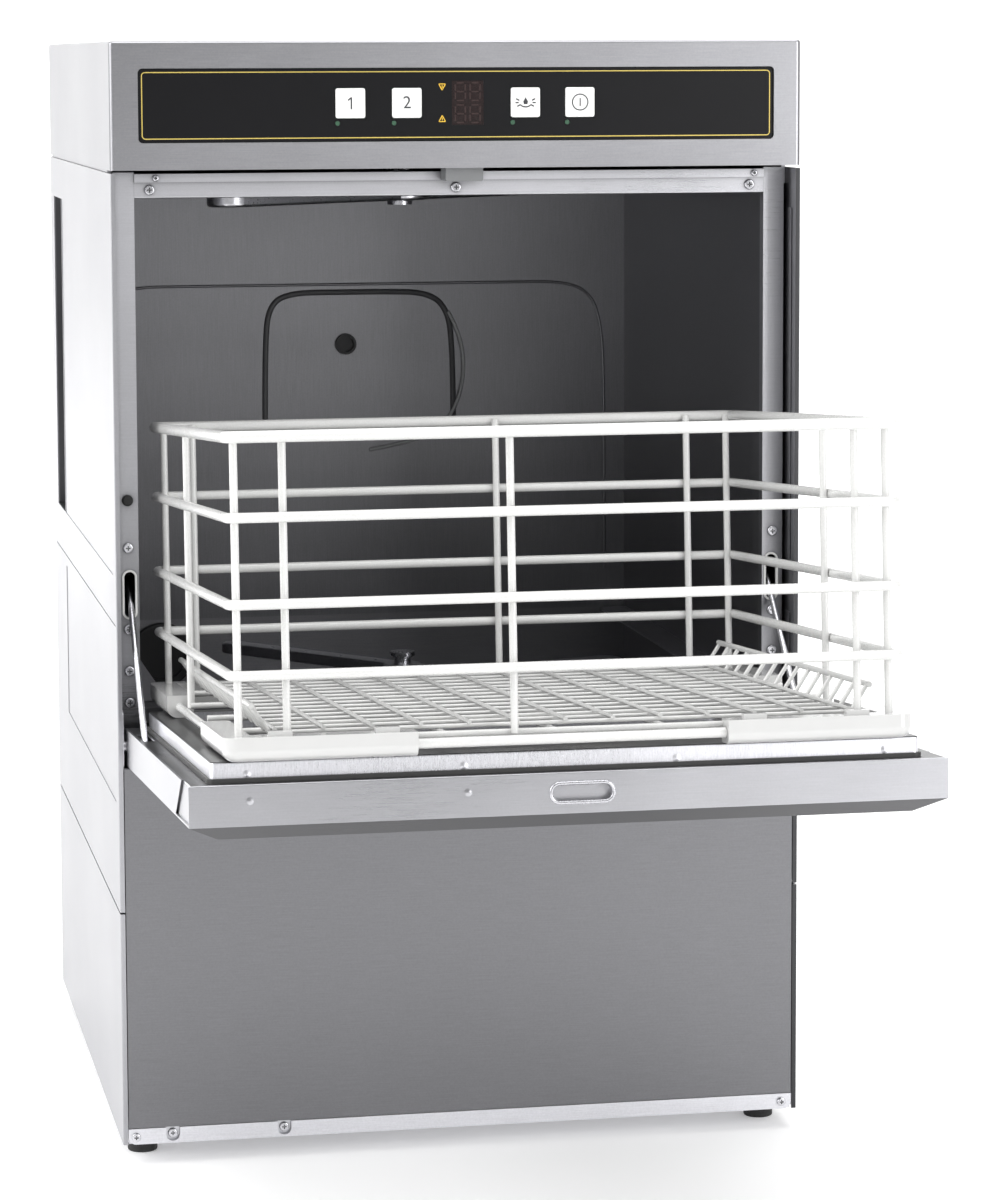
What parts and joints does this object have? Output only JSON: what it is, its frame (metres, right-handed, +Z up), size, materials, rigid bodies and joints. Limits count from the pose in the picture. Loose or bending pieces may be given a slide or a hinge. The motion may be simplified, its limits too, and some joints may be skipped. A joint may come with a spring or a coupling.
{
  "type": "commercial glasswasher",
  "caption": "Compact front-loading commercial dishwasher in stainless steel with a drop-down door and a square white wire rack.",
  "frame": {"origin": "on the floor, in the middle of the machine with its door open; the cabinet is centred 0.165 m behind it", "axes": "+Z up, +X to the right seen from the front, the front faces -Y; the door is open, towards -Y"},
  "size_m": [0.46, 0.8588, 0.74],
  "materials": {
    "base_steel": "plain rolled stainless sheet",
    "shell_steel": "fine brushed stainless sheet",
    "side_steel": "bright fine brushed stainless sheet",
    "rear_steel": "plain rolled stainless sheet",
    "front_steel": "satin stainless, fine horizontal grain",
    "hood_steel": "satin stainless, fine horizontal grain",
    "frame_steel": "satin stainless sheet",
    "catch_plastic": "moulded grey",
    "screw_steel": "turned bright stainless with recessed cross",
    "switch_rubber": "moulded black",
    "bezel_plastic": "moulded light grey",
    "foot_rubber": "moulded black",
    "plate_black": "black gloss overlay with a thin gold line",
    "display_glass": "dark red filter",
    "led_green": "clear green lens",
    "board_green": "green solder resist",
    "button_plastic": "white moulded cap with a printed symbol",
    "chamber_steel": "dull satin stainless",
    "tank_steel": "dull satin stainless",
    "runner_steel": "satin stainless",
    "strainer_steel": "perforated satin stainless",
    "hub_steel": "turned stainless",
    "arm_steel": "pressed satin stainless",
    "pipe_plastic": "moulded black",
    "elbow_plastic": "moulded black",
    "pump_plastic": "moulded black, glass filled",
    "motor_aluminium": "die cast",
    "boiler_steel": "rolled stainless drum",
    "heater_steel": "heat tinted tube",
    "valve_plastic": "moulded white",
    "gland_plastic": "moulded black",
    "hinge_steel": "stainless plate with riveted pin",
    "door_steel": "satin stainless, fine grain",
    "liner_steel": "dull satin stainless pressing",
    "seal_rubber": "moulded lip",
    "pin_steel": "turned stainless",
    "rod_steel": "drawn stainless rod",
    "rack_coating": "white dipped coating over steel wire",
    "insert_coating": "white coated fine wire",
    "shoe_plastic": "white moulded, glossy"
  },
  "bodies": {
    "cabinet": {"base_frame": "base_steel", "base_strip": "shell_steel", "side_panel_left_upper": "side_steel", "side_panel_right_upper": "side_steel", "side_panel_left_lower": "side_steel", "side_panel_right_lower": "side_steel", "rear_panel": "rear_steel", "lower_front_panel": "front_steel", "hood": "hood_steel", "post_left": "frame_steel", "post_right": "frame_steel", "header_bar": "frame_steel", "sill_bar": "frame_steel", "catch_block": "catch_plastic", "cabinet_screws": "screw_steel", "door_switch": "switch_rubber", "slot_bezels": "bezel_plastic", "feet": "foot_rubber", "control_plate": "plate_black", "display_window": "display_glass", "status_leds": "led_green", "control_board": "board_green", "chamber_sides": "chamber_steel", "chamber_rear": "chamber_steel", "chamber_ceiling": "chamber_steel", "tank": "tank_steel", "rack_runners": "runner_steel", "tank_strainer": "strainer_steel", "lower_arm_hub": "hub_steel", "upper_arm_hub": "hub_steel", "riser_pipe": "pipe_plastic", "suction_elbow": "elbow_plastic", "wash_pump": "pump_plastic", "pump_motor": "motor_aluminium", "boiler": "boiler_steel", "tank_heater": "heater_steel", "drain_pump": "pump_plastic", "inlet_valve": "valve_plastic", "drain_spigot": "pipe_plastic", "cable_gland": "gland_plastic", "hinge_brackets": "hinge_steel"},
    "door": {"door_skin": "door_steel", "door_liner": "liner_steel", "door_seal": "seal_rubber", "rod_anchor_pins": "pin_steel"},
    "door_rods": {"door_rods": "rod_steel"},
    "rack_rail": {"rack_front_rail": "rack_coating"},
    "rack": {"rack_rings": "rack_coating", "rack_uprights": "rack_coating", "rack_base": "rack_coating", "rack_insert": "insert_coating", "rack_shoes": "shoe_plastic"},
    "lower_wash_arm": {"lower_wash_arm": "arm_steel"},
    "lower_rinse_arm": {"lower_rinse_arm": "arm_steel"},
    "upper_wash_arm": {"upper_wash_arm": "arm_steel"},
    "upper_rinse_arm": {"upper_rinse_arm": "arm_steel"},
    "button_program_1": {"button_program_1": "button_plastic"},
    "button_program_2": {"button_program_2": "button_plastic"},
    "button_drain": {"button_drain": "button_plastic"},
    "button_power": {"button_power": "button_plastic"}
  },
  "joints": [
    {"name": "door_swing", "type": "hinge", "parent": "cabinet", "child": "door", "pos_m": [0, -0.063, 0.279], "axis": [-1, 0, 0], "range_deg": [0, 85.6]},
    {"name": "rack_travel", "type": "slide", "parent": "door", "child": "rack_rail", "axis": [0, 0.9971, -0.0767], "range_m": [0, 0.332]},
    {"name": "rack_level", "type": "hinge", "parent": "rack_rail", "child": "rack", "pos_m": [0, -0.41956, 0.33753], "axis": [1, 0, 0], "range_deg": [0, 90.2]},
    {"name": "rod_swing", "type": "hinge", "parent": "door", "child": "door_rods", "pos_m": [0, -0.1399, 0.2794], "axis": [1, 0, 0], "range_deg": [0, 71.8]},
    {"name": "lower_wash_spin", "type": "hinge", "parent": "cabinet", "child": "lower_wash_arm", "pos_m": [0, 0.167, 0.275], "axis": [0, 0, 1], "continuous": true},
    {"name": "lower_rinse_spin", "type": "hinge", "parent": "cabinet", "child": "lower_rinse_arm", "pos_m": [0, 0.167, 0.2885], "axis": [0, 0, 1], "continuous": true},
    {"name": "upper_wash_spin", "type": "hinge", "parent": "cabinet", "child": "upper_wash_arm", "pos_m": [0, 0.167, 0.6335], "axis": [0, 0, 1], "continuous": true},
    {"name": "upper_rinse_spin", "type": "hinge", "parent": "cabinet", "child": "upper_rinse_arm", "pos_m": [0, 0.167, 0.6432], "axis": [0, 0, 1], "continuous": true},
    {"name": "button_program_1_press", "type": "slide", "parent": "cabinet", "child": "button_program_1", "axis": [0, 1, 0], "range_m": [0, 0.0015], "stiffness_N_per_m": 300},
    {"name": "button_program_2_press", "type": "slide", "parent": "cabinet", "child": "button_program_2", "axis": [0, 1, 0], "range_m": [0, 0.0015], "stiffness_N_per_m": 300},
    {"name": "button_drain_press", "type": "slide", "parent": "cabinet", "child": "button_drain", "axis": [0, 1, 0], "range_m": [0, 0.0015], "stiffness_N_per_m": 300},
    {"name": "button_power_press", "type": "slide", "parent": "cabinet", "child": "button_power", "axis": [0, 1, 0], "range_m": [0, 0.0015], "stiffness_N_per_m": 300}
  ],
  "couplings": [
    {"joint": "rack_travel", "follows": "door_swing", "m_per_rad": 0.22182},
    {"joint": "rack_level", "follows": "door_swing", "ratio": 1.0514},
    {"joint": "rod_swing", "follows": "door_swing", "ratio": 0.8364}
  ]
}
